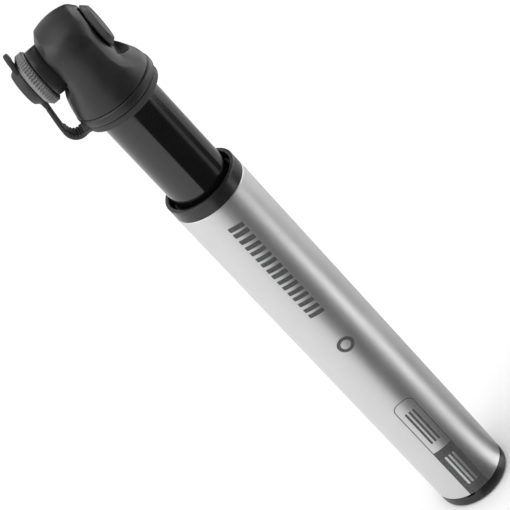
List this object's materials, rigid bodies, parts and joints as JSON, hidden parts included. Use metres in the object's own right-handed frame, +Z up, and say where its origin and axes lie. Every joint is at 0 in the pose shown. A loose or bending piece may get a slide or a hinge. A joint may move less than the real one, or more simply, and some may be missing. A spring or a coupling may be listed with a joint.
{
  "type": "bicycle mini pump",
  "caption": "Telescopic bicycle mini pump: satin barrel over a gloss inner tube, angled valve head with lock ring, stage button and tethered dust cap.",
  "frame": {"origin": "centre of the end cap's flat base, on the barrel axis", "axes": "+Z up the barrel axis towards the valve head, -X along the valve port, +X towards the stage button, -Y is the printed side of the barrel"},
  "size_m": [0.0273, 0.0224, 0.1857],
  "materials": {
    "silver_anodised": "fine bead-blasted, clear anodised, satin",
    "black_plastic": "moulded, fine texture",
    "collar_black": "turned, satin",
    "head_plastic": "moulded glass-filled plastic, fine spark texture",
    "tether_rubber": "moulded rubber, dull",
    "seal_rubber": "smooth, greased",
    "white_plastic": "turned acetal",
    "grey_plastic": "moulded",
    "rod_aluminium": "drawn, polished",
    "black_anodised": "gloss black anodised, polished",
    "neck_black": "turned, fine rings",
    "grey_anodised": "grey anodised, straight knurl",
    "steel": "bright",
    "brass": "turned"
  },
  "bodies": {
    "barrel": {"barrel_tube": "silver_anodised", "end_cap": "black_plastic", "end_cap_oring": "seal_rubber", "end_bumper": "seal_rubber", "barrel_collar": "collar_black", "guide_bush": "white_plastic", "wiper_ring": "seal_rubber", "piston_rod": "rod_aluminium", "piston_head": "grey_plastic", "piston_seal": "seal_rubber", "piston_nut": "steel"},
    "head": {"inner_tube": "black_anodised", "tube_foot": "grey_plastic", "foot_seal": "seal_rubber", "rod_seal": "seal_rubber", "head_body": "head_plastic", "head_ring": "head_plastic", "tether_ring": "tether_rubber", "tether_strap": "tether_rubber", "tube_oring": "seal_rubber", "chuck_neck": "neck_black", "valve_gland": "seal_rubber", "chuck_insert": "brass", "check_seat": "brass", "check_spring": "steel", "selector_bush": "grey_plastic"},
    "lock_ring": {"lock_ring": "grey_anodised"},
    "dust_cap": {"dust_cap": "tether_rubber"},
    "stage_button": {"selector_button": "head_plastic", "selector_spool": "rod_aluminium", "selector_orings": "seal_rubber"},
    "check_poppet": {"check_poppet": "seal_rubber"}
  },
  "joints": [
    {"name": "head_slide", "type": "slide", "parent": "barrel", "child": "head", "axis": [0, 0, 1], "range_m": [-0.03, 0.064]},
    {"name": "lock_turn", "type": "hinge", "parent": "head", "child": "lock_ring", "pos_m": [-0.012, 0, 0.176], "axis": [-1, 0, 0], "range_deg": [0, 180]},
    {"name": "cap_swing", "type": "hinge", "parent": "head", "child": "dust_cap", "pos_m": [-0.0136, 0, 0.1593], "axis": [0, -1, 0], "range_deg": [0, 120], "deforming": ["tether_strap"]},
    {"name": "stage_slide", "type": "slide", "parent": "head", "child": "stage_button", "axis": [1, 0, 0], "range_m": [0, 0.0025]},
    {"name": "check_lift", "type": "slide", "parent": "head", "child": "check_poppet", "axis": [0, 0, 1], "range_m": [0, 0.0007], "stiffness_N_per_m": 60, "springref_m": -0.001, "deforming": ["check_spring"]}
  ]
}
